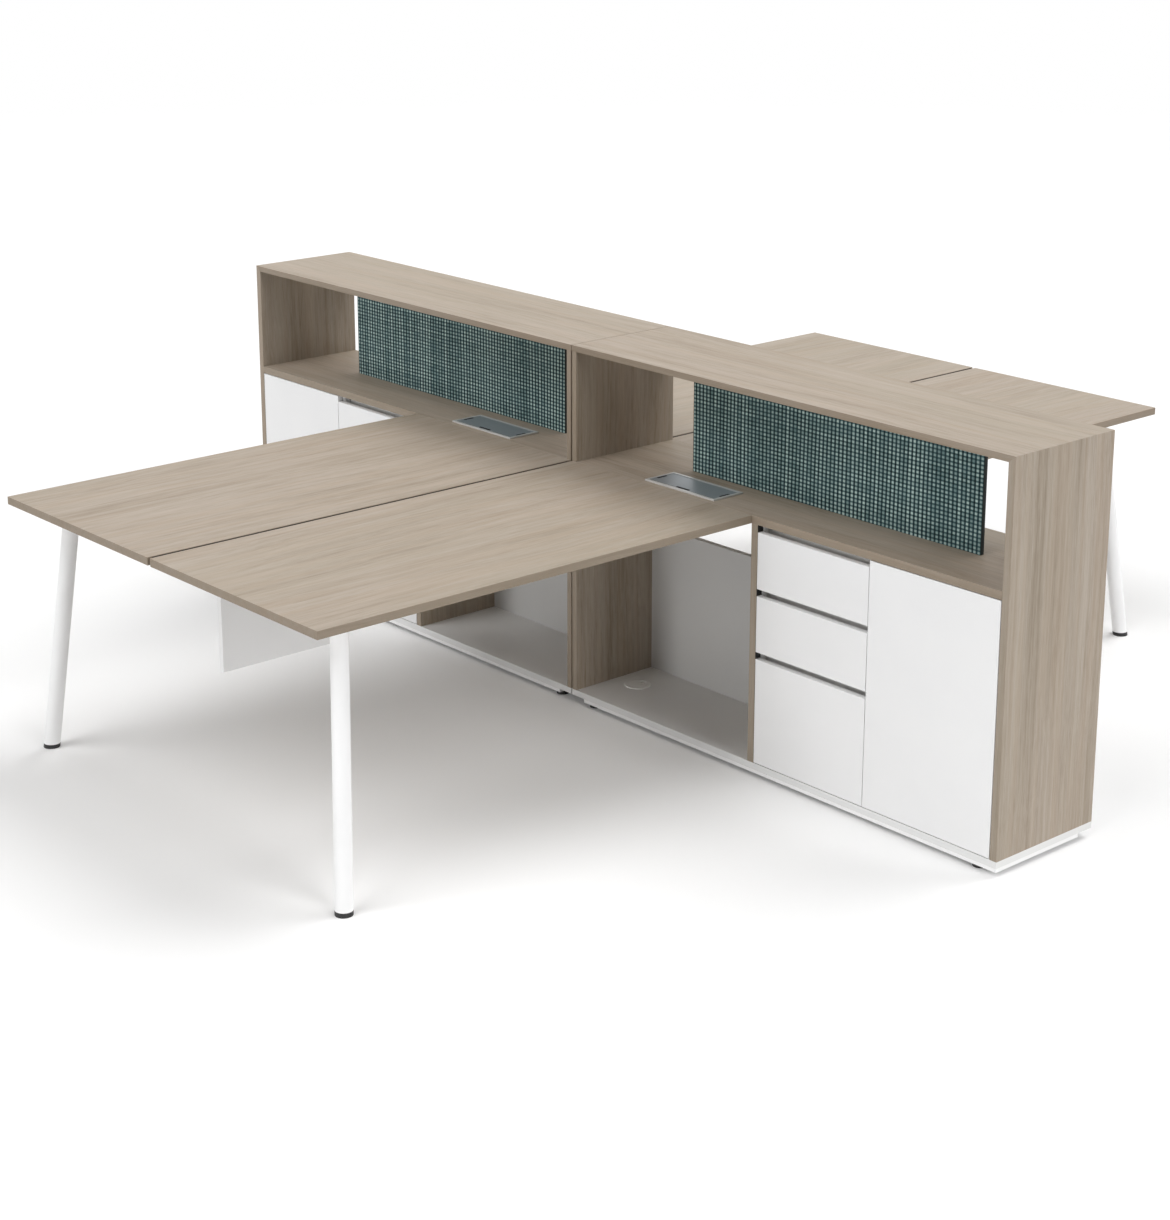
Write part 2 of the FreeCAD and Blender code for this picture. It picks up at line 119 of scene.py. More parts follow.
class Value:
    """A shader socket that can be used in Python arithmetic."""

    def __init__(self, shader: "Shader", socket: bpy.types.NodeSocket) -> None:
        """Keep the socket and the shader that it belongs to."""
        self.shader = shader
        self.socket = socket

    def _math(self, operation: str, first: Any, second: Any = None) -> "Value":
        """Add one Math node.

        Args:
            operation: Name of the operation.
            first: First operand.
            second: Second operand, if the operation takes two.

        Returns:
            The result.
        """
        inputs = {0: first} if second is None else {0: first, 1: second}
        return self.shader.node("ShaderNodeMath", {"operation": operation}, inputs)

    def __add__(self, other: Any) -> "Value":
        """Sum."""
        return self._math("ADD", self, other)

    def __radd__(self, other: Any) -> "Value":
        """Sum with a number on the left."""
        return self._math("ADD", other, self)

    def __sub__(self, other: Any) -> "Value":
        """Difference."""
        return self._math("SUBTRACT", self, other)

    def __rsub__(self, other: Any) -> "Value":
        """Difference from a number."""
        return self._math("SUBTRACT", other, self)

    def __mul__(self, other: Any) -> "Value":
        """Product."""
        return self._math("MULTIPLY", self, other)

    def __rmul__(self, other: Any) -> "Value":
        """Product with a number on the left."""
        return self._math("MULTIPLY", other, self)

    def __truediv__(self, other: Any) -> "Value":
        """Quotient."""
        return self._math("DIVIDE", self, other)

    def __rtruediv__(self, other: Any) -> "Value":
        """Quotient of a number."""
        return self._math("DIVIDE", other, self)

    def __pow__(self, other: Any) -> "Value":
        """Power."""
        return self._math("POWER", self, other)

    def __rpow__(self, other: Any) -> "Value":
        """Power of a number."""
        return self._math("POWER", other, self)

    def __abs__(self) -> "Value":
        """Absolute value."""
        return self._math("ABSOLUTE", self)

    def sine(self) -> "Value":
        """Sine of an angle in radians."""
        return self._math("SINE", self)

    def floor(self) -> "Value":
        """Next whole number below."""
        return self._math("FLOOR", self)

    def between(self, low: float, high: float) -> "Value":
        """Smooth step from 0 at low to 1 at high."""
        inputs = {"Value": self, "From Min": low, "From Max": high}
        return self.shader.node("ShaderNodeMapRange", {"interpolation_type": "SMOOTHSTEP"}, inputs)


Measure = Union[Value, float]


class Shader:
    """Nodes of one material with a principled surface, or of the world with its background."""

    def __init__(self, name: str, world: bool = False) -> None:
        """Start an empty material or world.

        Args:
            name: Name of the material or world.
            world: Whether it is a world.
        """
        self.block = (bpy.data.worlds if world else bpy.data.materials).new(name)
        self.block.use_nodes = True
        self.tree = self.block.node_tree
        self.tree.nodes.clear()
        self.output = self.tree.nodes.new("ShaderNodeOutputWorld" if world else "ShaderNodeOutputMaterial")
        self.surface = self.tree.nodes.new("ShaderNodeBackground" if world else "ShaderNodeBsdfPrincipled")
        self.tree.links.new(self.surface.outputs[0], self.output.inputs["Surface"])

    def node(self, kind: str, settings: Optional[Dict[str, Any]] = None,
             inputs: Optional[Dict[Any, Any]] = None, result: Union[int, str] = 0) -> Value:
        """Add a node.

        Args:
            kind: Type of the node.
            settings: Properties, or the stops of a ramp, which are set before the sockets.
            inputs: Values or links of the sockets, by name or place.
            result: Output that is handed back, by name or place.

        Returns:
            The chosen output.
        """
        made = self.tree.nodes.new(kind)
        for key, setting in (settings or {}).items():
            if key == "stops":
                self._stops(made, setting)
            else:
                setattr(made, key, setting)
        for key, value in (inputs or {}).items():
            self.feed(made.inputs[key], value)
        return Value(self, made.outputs[result])

    @staticmethod
    def _stops(ramp: bpy.types.Node, stops: Sequence[Tuple[float, Colour]]) -> None:
        """Write the stops of a colour ramp.

        Args:
            ramp: Ramp node.
            stops: Place and display colour of each stop.
        """
        elements = ramp.color_ramp.elements
        while len(elements) < len(stops):
            elements.new(MIDDLE)
        for element, (place, colour) in zip(elements, stops):
            element.position = place
            element.color = tint(colour)

    def feed(self, socket: bpy.types.NodeSocket, value: Any) -> None:
        """Link or set one socket.

        Args:
            socket: Socket to feed.
            value: Value to link, or a plain setting.
        """
        if isinstance(value, Value):
            self.tree.links.new(value.socket, socket)
        else:
            socket.default_value = value

    def set(self, **inputs: Any) -> None:
        """Feed sockets of the surface; an underscore stands for a space."""
        for key, value in inputs.items():
            self.feed(self.surface.inputs[key.replace("_", " ")], value)

    def split(self, vector: Value) -> List[Value]:
        """Return the three parts of a vector."""
        parts = self.node("ShaderNodeSeparateXYZ", None, {0: vector}).socket.node.outputs
        return [Value(self, part) for part in parts]

    def join(self, x: Any, y: Any, z: Any) -> Value:
        """Make a vector of three parts."""
        return self.node("ShaderNodeCombineXYZ", None, {0: x, 1: y, 2: z})

    def spot(self) -> Value:
        """Return the object coordinates in metres."""
        return self.node("ShaderNodeTexCoord", None, None, "Object")

    def facing(self) -> List[Value]:
        """Return the parts of the object-space normal."""
        return self.split(self.node("ShaderNodeTexCoord", None, None, "Normal"))

    def seen(self) -> Value:
        """Return 1 for the camera, glossy and transmission rays, which show the backdrop, and else 0."""
        rays = [self.node("ShaderNodeLightPath", None, None, f"Is {kind} Ray")
                for kind in ("Camera", "Glossy", "Transmission")]
        return (rays[0] + rays[1] + rays[2]).between(0.0, 1.0)

    def noise(self, vector: Value, scale: float = 1.0, detail: float = 2.0, rough: float = 0.5) -> Value:
        """Return a noise value of 0 to 1."""
        inputs = {"Vector": vector, "Scale": scale, "Detail": detail, "Roughness": rough}
        return self.node("ShaderNodeTexNoise", None, inputs)

    def speckle(self, x: Any, y: Any, z: Any) -> Value:
        """Return a random value of 0 to 1 for each place."""
        return self.node("ShaderNodeTexWhiteNoise", None, {"Vector": self.join(x, y, z)})

    def ramp(self, value: Value, stops: Sequence[Tuple[float, Colour]]) -> Value:
        """Turn a value of 0 to 1 into a colour between the stops."""
        return self.node("ShaderNodeValToRGB", {"stops": stops}, {0: value})

    def blend(self, share: Any, first: Any, second: Any) -> Value:
        """Mix two colours, whose sockets a Mix node has at places 6 and 7, with the result at 2."""
        return self.node("ShaderNodeMix", {"data_type": "RGBA"}, {0: share, 6: first, 7: second}, 2)

    def wash(self, ground: Value, value: Value, fade: Span, share: float, colour: Colour) -> Value:
        """Lay a share of another colour over the ground where a value fades in."""
        return self.blend(value.between(*fade) * share, ground, tint(colour))

    def bump(self, height: Value, depth: float, strength: float) -> None:
        """Feed the surface normal with a height in units of depth, in metres."""
        inputs = {"Strength": strength, "Distance": depth, "Height": height}
        self.feed(self.surface.inputs["Normal"], self.node("ShaderNodeBump", None, inputs))


@dataclass(frozen=True)
class OakDecor:
    """Grey-brown oak decor board with straight grain; its edge faces are darkened, partly for the edging's
    own darker tone and partly as painted shade.
    """

    name: str
    grain: Axis  # along the grain
    thickness: Axis  # through the board
    seed: float  # shift of the pattern, so that no two boards look alike
    contrast: float  # strength of the grain
    run: float  # how short the figure is along the grain
    edge: float  # how much the edge faces are darkened, for the edging's tone and as painted shade

    # Noises: waves per metre along and across the grain, finer layers and their strength
    BROAD = (0.6, 15.0, 3.0, 0.6)
    STREAK = (1.5, 78.0, 4.0, 0.64)
    BAND = (0.7, 36.0, 2.0, 0.5)
    FIBRE = (15.0, 430.0, 3.0, 0.62)
    PORE = (22.0, 900.0, 1.0, 0.5)
    SWAY = (1.1, 2.6, 2.0)
    WARMTH = (0.35, 3.0, 1.0)
    SWAY_WIDTH = 0.06
    SEED_STRIDE = 3.7
    WARMTH_SHIFT = 5.0
    # Colours, with the values between which they fade in and their shares
    TONES = ((0.28, (139, 124, 108)), (0.44, (161, 148, 132)),
             (0.54, (170, 157, 143)), (0.72, (183, 172, 159)))
    TONE_SHARES = (0.3, 0.4, 0.3)  # of the broad figure, streaks and fibres
    WARM = ((0.35, 0.7), 0.3, (168, 159, 142))
    BANDED = ((0.45, 0.65), 0.25, (176, 157, 137))
    PORE_FADE = (0.62, 0.75)
    PORE_SHARE = 0.22
    PORE_COLOUR = (117, 103, 87)
    # Edge faces: the edging's own darker tone together with painted shade
    EDGE_FADE = (0.3, 0.8)
    EDGE_COLOUR = (126, 112, 94)
    ROUGH = (0.5, 0.12, 0.08)  # least roughness, what streaks add and what pores take
    SPECULAR = 0.35
    RELIEF_SHARES = (0.4, 0.5, 0.6)  # of streaks and fibres upwards, and of pores downwards
    RELIEF = (0.00025, 0.5)  # depth and strength

    def make(self) -> Material:
        """Build the finish.

        Returns:
            The material.
        """
        shader = Shader(self.name)
        place = shader.split(shader.spot())
        along = place[self.grain.value] + self.seed * self.SEED_STRIDE
        first, second = [place[axis.value] for axis in Axis if axis is not self.grain]
        run, pitch, detail = self.SWAY
        sway = shader.join(along * run, first * pitch + self.seed, second * pitch)
        wander = shader.noise(sway, 1.0, detail) * self.SWAY_WIDTH
        across, beside = first + wander, second + wander

        def figure(run: float, pitch: float, detail: float, rough: float, stretch: float = 1.0) -> Value:
            """Return a noise drawn out along the grain."""
            spot = shader.join(along * (run * stretch), across * pitch, beside * pitch)
            return shader.noise(spot, 1.0, detail, rough)

        broad, streak, band = [figure(*kind, self.run) for kind in (self.BROAD, self.STREAK, self.BAND)]
        fibre = figure(*self.FIBRE)
        pores = figure(*self.PORE).between(*self.PORE_FADE)
        shares = self.TONE_SHARES
        tone = broad * shares[0] + streak * shares[1] + fibre * shares[2]
        colour = shader.ramp((tone - MIDDLE) * self.contrast + MIDDLE, self.TONES)
        run, pitch, detail = self.WARMTH
        warmth = shader.join(along * run, first * pitch, second * pitch + self.WARMTH_SHIFT)
        colour = shader.wash(colour, shader.noise(warmth, 1.0, detail), *self.WARM)
        colour = shader.wash(colour, band, *self.BANDED)
        colour = shader.blend(pores * self.PORE_SHARE, colour, tint(self.PORE_COLOUR))
        # Painted shade with the edging's darker tone, on every face that doesn't look through the board
        edge = 1.0 - abs(shader.facing()[self.thickness.value]).between(*self.EDGE_FADE)
        colour = shader.blend(edge * self.edge, colour, tint(self.EDGE_COLOUR))
        least, more, less = self.ROUGH
        shader.set(Base_Color=colour, Roughness=least + streak * more - pores * less,
                   Specular_IOR_Level=self.SPECULAR)
        shares = self.RELIEF_SHARES
        shader.bump(streak * shares[0] + fibre * shares[1] - pores * shares[2], *self.RELIEF)
        return shader.block


@dataclass(frozen=True)
class Coat:
    """Plain surface with a fine relief and faint clouds of another shade."""

    name: str
    colour: Colour
    rough: float  # middle roughness

    SHIFT: ClassVar[Colour]  # from the colour to that of the clouds
    CLOUDS: ClassVar[Span]  # clouds per metre and their finer layers
    FADE: ClassVar[Span]  # values between which a cloud fades in
    SHARE: ClassVar[float]  # how much of its colour then shows
    SHEEN: ClassVar[Span]  # change of the roughness, and what varies on top of it
    SPECULAR: ClassVar[float]
    PEEL: ClassVar[Triple]  # grains per metre, depth and strength of the relief

    def gloss(self, peel: Value, clouds: Value) -> Value:
        """Return a roughness that follows the clouds."""
        return self.rough + self.SHEEN[0] + clouds * self.SHEEN[1]

    def make(self) -> Material:
        """Build the finish.

        Returns:
            The material.
        """
        shader = Shader(self.name)
        spot = shader.spot()
        grains, depth, strength = self.PEEL
        peel = shader.noise(spot, grains)
        clouds = shader.noise(spot, *self.CLOUDS)
        share = clouds.between(*self.FADE) * self.SHARE
        colour = shader.blend(share, tint(self.colour), tint(self.colour, self.SHIFT))
        shader.set(Base_Color=colour, Roughness=self.gloss(peel, clouds), Specular_IOR_Level=self.SPECULAR)
        shader.bump(peel, depth, strength)
        return shader.block


@dataclass(frozen=True)
class SatinBoard(Coat):
    """Smooth coated board, nearly plain, with a faint peel and handling marks."""

    rough: float = 0.42
    SHIFT = (-5, -5, -4)
    CLOUDS = (5.0, 3.0)
    FADE = (0.3, 0.8)
    SHARE = 0.5
    SHEEN = (-0.04, 0.08)
    SPECULAR = 0.4
    PEEL = (420.0, 0.00008, 0.35)


@dataclass(frozen=True)
class PowderCoat(Coat):
    """Powder coating on steel with its fine orange peel."""

    rough: float = 0.34
    SHIFT = (-6, -6, -6)
    CLOUDS = (9.0, 2.0)
    FADE = (0.4, 0.8)
    SHARE = 0.7
    SHEEN = (0.0, 0.12)
    SPECULAR = 0.5
    PEEL = (700.0, 0.00012, 0.4)

    def gloss(self, peel: Value, clouds: Value) -> Value:
        """Return a roughness that follows the peel."""
        return self.rough + self.SHEEN[0] + peel * self.SHEEN[1]


@dataclass(frozen=True)
class MouldedPlastic(Coat):
    """Moulded plastic with a fine spark grain and worn spots."""

    SHIFT = (14, 14, 14)
    CLOUDS = (30.0, 3.0)
    FADE = (0.5, 0.8)
    SHARE = 0.6
    SHEEN = (-0.05, 0.12)
    SPECULAR = 0.5
    PEEL = (1100.0, 0.0001, 0.4)


@dataclass(frozen=True)
class DrawnMetal:
    """Satin metal with fine lines along one axis."""

    name: str
    colour: Colour
    lines: Axis  # along the lines
    rough: float  # middle roughness
    metal: float = 1.0  # a lacquered or anodised surface is less metallic

    ALONG = 4.0  # waves per metre along the lines
    ACROSS = 1500.0  # waves per metre across them
    SHIFT = (-22, -21, -20)  # from the colour to that of the lines
    SHARE = 0.5  # how much of it shows
    SMUDGES = (14.0, 3.0)  # smudges per metre and their finer layers
    SHEEN = (-0.06, 0.08)  # change of the roughness, and what lines and smudges add
    RELIEF = (0.00004, 0.4)  # depth and strength

    def make(self) -> Material:
        """Build the finish.

        Returns:
            The material.
        """
        shader = Shader(self.name)
        spot = shader.spot()
        drawn = [part * (self.ALONG if axis is self.lines else self.ACROSS)
                 for axis, part in zip(Axis, shader.split(spot))]
        line = shader.noise(shader.join(*drawn))
        smudge = shader.noise(spot, *self.SMUDGES)
        colour = shader.blend(line * self.SHARE, tint(self.colour), tint(self.colour, self.SHIFT))
        change, more = self.SHEEN
        rough = self.rough + change + line * more + smudge * more
        shader.set(Base_Color=colour, Metallic=self.metal, Roughness=rough)
        shader.bump(line, *self.RELIEF)
        return shader.block


@dataclass(frozen=True)
class Sway:
    """One slow wave that bends the yarns."""

    size: float  # height of the wave, in cells
    across: float  # turn per metre along X, in radians
    up: float  # turn per metre along Z
    start: float = 0.0  # turn at the origin

    def at(self, x: Measure, z: Measure) -> Measure:
        """Return the height of the wave at a point."""
        turn = x * self.across + z * self.up + self.start
        return (turn.sine() if isinstance(turn, Value) else math.sin(turn)) * self.size


@dataclass(frozen=True)
class WeaveLattice:
    """Layout of the woven cells, shared by the relief of the covers and their finish."""

    pitch: Span = (0.0140, 0.0112)  # width and height of one cell
    columns: Tuple[Sway, ...] = (Sway(0.12, 7.0, 4.0), Sway(0.08, 19.0, -9.0))
    rows: Tuple[Sway, ...] = (Sway(0.10, 5.0, 0.0, 2.0), Sway(0.07, 23.0, 9.0))
    rounds: int = 6  # in which a point is found

    def cell(self, x: Measure, z: Measure) -> Tuple[Measure, Measure]:
        """Count the cells up to a point, with the slight sway of the yarns.

        Args:
            x: Place along the screen, as a number or a shader value.
            z: Height, likewise.

        Returns:
            The cells across and up.
        """
        across = sum((sway.at(x, z) for sway in self.columns), x / self.pitch[0])
        up = sum((sway.at(x, z) for sway in self.rows), z / self.pitch[1])
        return across, up

    def spot(self, across: float, up: float) -> Span:
        """Find the point that lies so many cells across and up.

        Args:
            across: Cells from the middle plane.
            up: Cells from the floor.

        Returns:
            The x and z of the point.
        """
        x, z = across * self.pitch[0], up * self.pitch[1]
        for _ in range(self.rounds):
            reached = self.cell(x, z)
            x += (across - reached[0]) * self.pitch[0]
            z += (up - reached[1]) * self.pitch[1]
        return x, z


@dataclass(frozen=True)
class BasketWeave:
    """Coarse teal basket weave, light where an upright yarn crosses a light row."""

    name: str
    lattice: WeaveLattice

    YARN_FADE = (0.18, 0.66)  # from the gap to the yarn
    COLUMN = (0.34, 0.24)  # least light of an upright yarn, and what chance adds
    ROW = (0.18, 0.1)  # the same of a level yarn
    KNOT = (0.12, 0.22)  # the same of a crossing
    KNOT_LAYER = 0.3  # of the random values
    PLIES = 6.0 * math.pi  # turn of the plies in one cell
    PLY_LIGHT = (0.86, 0.1, 0.08)  # plain, and what the plies of columns and rows add
    TONES = ((0.0, (12, 34, 37)), (0.3, (54, 84, 88)),
             (0.6, (106, 136, 137)), (1.0, (204, 226, 222)))
    CLOUDS = 22.0  # per metre
    CLOUDED = ((0.4, 0.65), 0.14, (84, 116, 124))
    FUZZ = (900.0, 3.0)  # hairs per metre and their finer layers
    FUZZY = ((0.45, 0.8), 0.15, (60, 92, 96))
    ROUGH = (0.82, 0.12)  # least roughness, and what the fuzz adds
    SPECULAR = 0.2
    SHEEN = (0.1, 0.6)  # weight and roughness
    RELIEF_SHARES = (0.4, 0.3, 0.25, 0.14)  # of columns, rows, plies and fuzz
    RELIEF = (0.0011, 0.7)  # depth and strength

    def make(self) -> Material:
        """Build the finish.

        Returns:
            The material.
        """
        shader = Shader(self.name)
        spot = shader.spot()
        x, _, z = shader.split(spot)
        u, v = self.lattice.cell(x, z)
        ribs = [(count * math.pi).sine() for count in (u, v)]
        warp, weft = [(rib * rib).between(*self.YARN_FADE) for rib in ribs]
        ply_u, ply_v = [((count * self.PLIES).sine() + 1.0) * MIDDLE for count in (u, v)]
        chances = (shader.speckle(u.floor(), MIDDLE, 0.0), shader.speckle(MIDDLE, v.floor(), 0.0),
                   shader.speckle(u.floor(), v.floor(), self.KNOT_LAYER))
        column, row, knot = [least + chance * more for chance, (least, more)
                             in zip(chances, (self.COLUMN, self.ROW, self.KNOT))]
        fuzz = shader.noise(spot, *self.FUZZ)
        plain, more_u, more_v = self.PLY_LIGHT
        light = warp * column + weft * row + warp * weft * knot
        colour = shader.ramp(light * (plain + ply_u * more_u + ply_v * more_v), self.TONES)
        colour = shader.wash(colour, shader.noise(spot, self.CLOUDS), *self.CLOUDED)
        colour = shader.wash(colour, fuzz, *self.FUZZY)
        least, more = self.ROUGH
        shader.set(Base_Color=colour, Roughness=least + fuzz * more, Specular_IOR_Level=self.SPECULAR)
        shader.set(Sheen_Weight=self.SHEEN[0], Sheen_Roughness=self.SHEEN[1])
        columns, rows, plies, hairs = self.RELIEF_SHARES
        shader.bump(warp * columns + weft * rows + ply_u * ply_v * plies + fuzz * hairs, *self.RELIEF)
        return shader.block


def looking(axis: Axis, sign: int, least: float = 0.0) -> FaceTest:
    """Make a test for the faces that look along an axis and exceed an area."""
    return lambda face: face.normal[axis.value] * sign > SQUARE_ON and face.area > least


def upright(first: Vector, second: Vector) -> bool:
    """Tell whether an edge stands upright."""
    return abs(first.z - second.z) > UPRIGHT_RISE


class Bench:
    """Mesh tools that work on one new piece at a time."""

    @staticmethod
    def clear() -> None:
        """Leave edit mode and deselect everything."""
        if bpy.context.object is not None and bpy.context.object.mode != "OBJECT":
            bpy.ops.object.mode_set(mode="OBJECT")
        bpy.ops.object.select_all(action="DESELECT")

    @staticmethod
    def take(piece: Item) -> None:
        """Select one piece alone.

        Args:
            piece: Piece that becomes active.
        """
        Bench.clear()
        piece.select_set(True)
        bpy.context.view_layer.objects.active = piece

    @staticmethod
    def settle(name: str) -> Item:
        """Name the piece that was just added, and put its place into its mesh.

        Args:
            name: Name of the piece.

        Returns:
            The piece.
        """
        bpy.ops.object.transform_apply(location=True, rotation=True, scale=True)
        piece = bpy.context.object
        piece.name = name
        piece.data.name = name
        return piece

    @staticmethod
    def block(name: str, low: Sequence[float], high: Sequence[float], edge: float, segments: int = 2,
              edges: Optional[EdgeTest] = None) -> Item:
        """Add a rounded block between two corners.

        Args:
            name: Name of the piece.
            low: Lowest corner.
            high: Highest corner.
            edge: Width of the rounding.
            segments: Steps of the rounding.
            edges: Test of an edge; without it, all edges are rounded.

        Returns:
            The new piece.
        """
        Bench.clear()
        start, end = Vector(low), Vector(high)
        bpy.ops.mesh.primitive_cube_add(size=1.0, location=(start + end) / 2)
        bpy.context.object.scale = end - start
        piece = Bench.settle(name)
        Bench.round_edges(piece, edge, segments, edges)
        return piece

    @staticmethod
    def disc(name: str, centre: Sequence[float], radius: float, height: float, sides: int) -> Item:
        """Add an upright round bar.

        Args:
            name: Name of the piece.
            centre: Middle of the bar.
            radius: Radius of the bar.
            height: Height of the bar.
            sides: Number of sides.

        Returns:
            The new piece.
        """
        Bench.clear()
        bpy.ops.mesh.primitive_cylinder_add(vertices=sides, radius=radius, depth=height, location=centre)
        return Bench.settle(name)

    @staticmethod
    def edit(piece: Item, faces: Optional[FaceTest] = None, edges: Optional[EdgeTest] = None) -> None:
        """Enter edit mode with the chosen faces or edges selected.

        Args:
            piece: Piece to work on.
            faces: Test of a face.
            edges: Test of an edge by its two ends; without any test, all edges are chosen.
        """
        Bench.take(piece)
        mesh = piece.data
        for group in (mesh.polygons, mesh.edges, mesh.vertices):
            group.foreach_set("select", [False] * len(group))
        bpy.context.tool_settings.mesh_select_mode = (False, faces is None, faces is not None)
        if faces is not None:
            for face in mesh.polygons:
                face.select = faces(face)
        else:
            for edge in mesh.edges:
                first, second = [mesh.vertices[i].co for i in edge.vertices]
                edge.select = edges is None or edges(first, second)
        bpy.ops.object.mode_set(mode="EDIT")

    @staticmethod
    def round_edges(piece: Item, width: float, segments: int = 2,
                    edges: Optional[EdgeTest] = None) -> None:
        """Round edges of a piece.

        Args:
            piece: Piece to work on.
            width: Width of the rounding.
            segments: Steps of the rounding.
            edges: Test of an edge; without it, all edges are rounded.
        """
        Bench.edit(piece, edges=edges)
        bpy.ops.mesh.bevel(offset=width, offset_type="OFFSET", segments=segments, affect="EDGES")
        bpy.ops.object.mode_set(mode="OBJECT")

    @staticmethod
    def step_face(piece: Item, faces: FaceTest, border: float, move: Sequence[float]) -> None:
        """Inset faces and step what is inside the border.

        Args:
            piece: Piece to work on.
            faces: Test of a face.
            border: Width of the border.
            move: How far the inner faces go.
        """
        Bench.edit(piece, faces=faces)
        bpy.ops.mesh.inset(thickness=border, depth=0.0)
        bpy.ops.mesh.extrude_region_move(TRANSFORM_OT_translate={"value": tuple(move)})
        bpy.ops.object.mode_set(mode="OBJECT")

    @staticmethod
    def copy(piece: Item, name: str, matrix: Matrix) -> Item:
        """Copy a piece with its own mesh.

        Args:
            piece: Piece to copy.
            name: Name of the copy.
            matrix: Where the copy goes.

        Returns:
            The copy.
        """
        mesh = piece.data.copy()
        mesh.transform(matrix)
        if matrix.determinant() < 0:
            mesh.flip_normals()
        twin = bpy.data.objects.new(name, mesh)
        bpy.context.scene.collection.objects.link(twin)
        return twin

    @staticmethod
    def gather(name: str, parts: Sequence[Item]) -> Item:
        """Join pieces into one.

        Args:
            name: Name of the whole.
            parts: Pieces to join.

        Returns:
            The whole.
        """
        Bench.take(parts[0])
        for part in parts:
            part.select_set(True)
        bpy.ops.object.join()
        parts[0].name = name
        parts[0].data.name = name
        return parts[0]

    @staticmethod
    def spread(name: str, pattern: Item, places: Sequence[Vector]) -> Item:
        """Copy a pattern to some places and join the copies."""
        copies = [Bench.copy(pattern, "copy", Matrix.Translation(place)) for place in places]
        return Bench.gather(name, copies)

    @staticmethod
    def smooth(piece: Item, degrees: float = 35.0) -> None:
        """Shade smooth up to an angle."""
        Bench.take(piece)
        bpy.ops.object.shade_smooth_by_angle(angle=math.radians(degrees))

    @staticmethod
    def finish(piece: Item, body: str, slot: str, material: Material) -> None:
        """Give a piece its material and the body that it moves with.

        Args:
            piece: Finished piece.
            body: Body that carries it.
            slot: Material slot of the record; not used.
            material: Finish of the piece.
        """
        piece.data.materials.clear()
        piece.data.materials.append(material)
        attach(piece, body)
        LOG.info("piece %s on %s", piece.name, body)


def dress(material: Material, *nodes: str) -> None:
    """Give CAD nodes their material.

    Args:
        material: Finish of the nodes.
        nodes: Names of the nodes.
    """
    for node in nodes:
        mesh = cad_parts[node].data
        mesh.materials.clear()
        mesh.materials.append(material)
        LOG.info("node %s wears %s", node, material.name)


@dataclass
class Carcass:
    """Boards of the two cabinets and the four desk tops."""

    lying: Tuple[str, ...] = ("top_board", "shelf_board")  # boards with grain along the spine
    standing: Tuple[str, ...] = ("end_panel", "joint_panel", "bay_divider")  # boards with upright grain
    lying_look: Triple = (1.4, 1.6, 0.5)  # contrast, run and edge darkening of the decor, the last partly painted shade
    standing_look: Triple = (1.8, 1.0, 0.3)
    desk_look: Triple = (1.4, 2.0, 0.6)
    seed: float = 1.0  # of the first board
    seed_step: float = 1.3  # from board to board

    def dress(self) -> None:
        """Give every board its finish."""
        boards = [(f"{name}_{side.word}", Axis.X, Axis.Z, self.lying_look)
                  for name, side in product(self.lying, Side)]
        boards += [(f"{name}_{side.word}", Axis.Z, Axis.X, self.standing_look)
                   for name, side in product(self.standing, Side)]
        boards += [(node, Axis.Y, Axis.Z, self.desk_look) for node in corners("desk_top")]
        seed = self.seed
        for node, grain, thickness, look in boards:
            dress(OakDecor("oak_" + node, grain, thickness, seed, *look).make(), node)
            seed += self.seed_step
        white = SatinBoard("satin_white", (243, 243, 243)).make()
        base = SatinBoard("satin_white_base", (234, 234, 233)).make()
        grey = SatinBoard("satin_grey", (206, 206, 205)).make()
        dress(white, "storage_backs", "door_partitions", "loose_shelves")
        dress(white, *[f"modesty_panel_{row.word}" for row in Row])
        for side in Side:
            dress(base, f"bottom_board_{side.word}")
            dress(white, f"door_{side.word}")
            for level in ("top", "middle", "bottom"):
                dress(white, f"drawer_front_{level}_{side.word}")
                dress(grey, f"drawer_box_{level}_{side.word}")
        dress(SatinBoard("satin_grey_back", (214, 214, 213)).make(), "bay_backs")


@dataclass
class Metalwork:
    """Legs, rails, channels, feet and other hardware nodes."""

    def dress(self) -> None:
        """Give the hardware its finishes."""
        coat = PowderCoat("white_powder_coat", (250, 250, 250))
        dress(coat.make(), *corners("leg"), "base_rails", "desk_rails", "modesty_brackets")
        dress(DrawnMetal("anodised_channel", (244, 243, 241), Axis.X, 0.5, 0.05).make(), "pull_channels")
        zinc = DrawnMetal("zinc_steel", (178, 180, 182), Axis.Y, 0.34)
        dress(zinc.make(), "cabinet_runners", "door_pivots", "shelf_pins")
        black = MouldedPlastic("black_plastic", (24, 24, 24), 0.48)
        dress(black.make(), "leg_glides", "cabinet_feet", "power_trays")
        dress(MouldedPlastic("light_grey_plastic", (250, 250, 248), 0.18).make(), "grommet_rings")
        cap = MouldedPlastic("grey_plastic", (241, 241, 239), 0.36)
        dress(cap.make(), *[f"grommet_cap_{side.word}" for side in Side])


